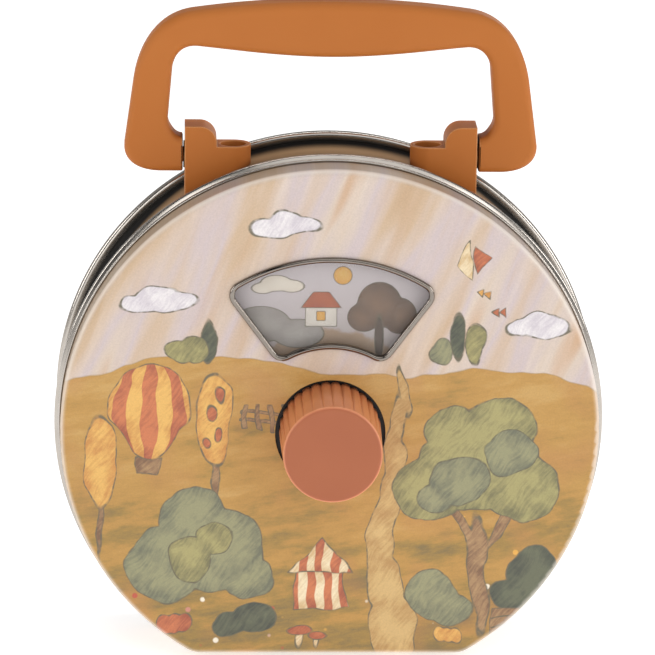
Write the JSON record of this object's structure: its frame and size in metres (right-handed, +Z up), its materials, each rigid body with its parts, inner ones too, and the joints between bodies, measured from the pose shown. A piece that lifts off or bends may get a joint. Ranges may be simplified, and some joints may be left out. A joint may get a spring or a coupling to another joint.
{
  "type": "musical tin",
  "caption": "Round flat-footed musical tin with a folding carry handle, a front winding knob, a bead-framed window over a turning picture disc, and a spring-driven comb movement inside.",
  "frame": {"origin": "on the table under the middle of the overall depth, in the plane of symmetry of the drum", "axes": "+Z up, +X to the right as seen from the printed face, -Y towards the printed face and the knob"},
  "size_m": [0.15, 0.0624, 0.1794],
  "materials": {
    "printed_lid": "printed tin with a clear satin lacquer",
    "printed_skirt": "dark taupe printed tin, satin lacquer",
    "back_tin": "plain beige lacquered tin",
    "bright_tin": "bright tinplate, rolled",
    "pewter_bead": "dull tinplate bead",
    "clear_pane": "clear moulded plastic, gloss",
    "handle_plastic": "orange-brown moulded plastic, low sheen",
    "bracket_plastic": "red-brown moulded plastic, low sheen",
    "knob_plastic": "terracotta moulded plastic, low sheen",
    "clamp_plastic": "natural moulded plastic",
    "hub_plastic": "black moulded plastic",
    "disc_print": "printed tin sheet, satin lacquer",
    "steel": "turned steel",
    "screw_steel": "zinc plated steel",
    "comb_steel": "ground spring steel",
    "spring_steel": "blued spring strip",
    "brass": "machined brass",
    "cast_zinc": "die cast zinc alloy, as cast",
    "plain_tin": "plain tinplate, pressed"
  },
  "bodies": {
    "case": {"side_wall": "printed_skirt", "back_panel": "back_tin", "front_rim": "bright_tin", "rear_rim": "bright_tin", "front_cover": "printed_lid", "window_bezel": "pewter_bead", "window_pane": "clear_pane", "left_bracket": "bracket_plastic", "right_bracket": "bracket_plastic", "bracket_screws": "screw_steel", "bracket_clamps": "clamp_plastic", "inner_plate": "plain_tin", "bedplate": "cast_zinc", "movement_screws": "screw_steel", "stem_bush": "brass", "spring_housing": "cast_zinc", "spring_cover": "plain_tin", "mainspring": "spring_steel", "housing_screws": "screw_steel", "comb": "comb_steel", "comb_screws": "screw_steel", "governor_frame": "cast_zinc", "governor_screws": "screw_steel"},
    "handle": {"handle": "handle_plastic"},
    "winder": {"winding_knob": "knob_plastic", "knob_insert": "brass", "winding_stem": "steel", "disc_hub": "hub_plastic", "picture_disc": "disc_print", "disc_clip": "steel", "great_wheel": "brass", "ratchet_wheel": "steel", "click": "brass"},
    "cylinder": {"cylinder_sleeve": "brass", "cylinder_arbor": "steel", "cylinder_pinion": "brass", "cylinder_gear": "brass"},
    "governor": {"governor_shaft": "steel", "governor_pinion": "brass", "worm_wheel": "brass"},
    "fly": {"worm": "steel", "fly": "brass"}
  },
  "joints": [
    {"name": "handle_fold", "type": "hinge", "parent": "case", "child": "handle", "pos_m": [0, 0.01505, 0.1366], "axis": [1, 0, 0], "range_deg": [-111, 106]},
    {"name": "knob_turn", "type": "hinge", "parent": "case", "child": "winder", "pos_m": [0, -0.01075, 0.065], "axis": [0, 1, 0], "continuous": true},
    {"name": "cylinder_turn", "type": "hinge", "parent": "case", "child": "cylinder", "pos_m": [0.0238, 0.00555, 0.065], "axis": [1, 0, 0], "continuous": true},
    {"name": "governor_turn", "type": "hinge", "parent": "case", "child": "governor", "pos_m": [0.0378, 0.00555, 0.07305], "axis": [1, 0, 0], "continuous": true},
    {"name": "fly_turn", "type": "hinge", "parent": "case", "child": "fly", "pos_m": [0.0378, 0.00555, 0.0769], "axis": [0, 1, 0], "continuous": true}
  ],
  "couplings": [
    {"joint": "cylinder_turn", "follows": "knob_turn", "ratio": 3},
    {"joint": "governor_turn", "follows": "knob_turn", "ratio": -12},
    {"joint": "fly_turn", "follows": "knob_turn", "ratio": -192}
  ]
}
